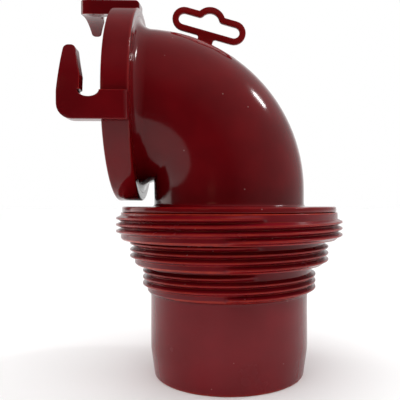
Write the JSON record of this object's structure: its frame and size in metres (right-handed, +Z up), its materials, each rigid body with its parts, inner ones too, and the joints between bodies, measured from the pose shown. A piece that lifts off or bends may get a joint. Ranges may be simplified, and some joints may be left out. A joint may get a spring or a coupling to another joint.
{
  "type": "sewer hose elbow",
  "caption": "Right-angle sewer hose elbow with a hooked bayonet mouth, a swivelling stepped threaded adapter with a slip end, and a hang tab.",
  "frame": {"origin": "on the vertical leg's axis, at the foot of the slip end", "axes": "+Z up the leg's axis; the bayonet mouth faces -X; the hang tab lies in the XZ plane"},
  "size_m": [0.1314, 0.1156, 0.1898],
  "materials": {
    "adapter_abs": "moulded, glossy",
    "elbow_abs": "moulded, glossy",
    "tab_abs": "moulded, glossy",
    "seal_rubber": "moulded, satin",
    "retainer_nylon": "natural nylon"
  },
  "bodies": {
    "adapter": {"threaded_adapter": "adapter_abs"},
    "elbow_body": {"elbow": "elbow_abs", "bayonet_ring": "elbow_abs", "hang_tab": "tab_abs", "bayonet_gasket": "seal_rubber", "swivel_seal": "seal_rubber", "retaining_ring": "retainer_nylon"}
  },
  "joints": [
    {"name": "swivel", "type": "hinge", "parent": "adapter", "child": "elbow_body", "pos_m": [0, 0, 0.0687], "axis": [0, 0, 1], "continuous": true}
  ]
}
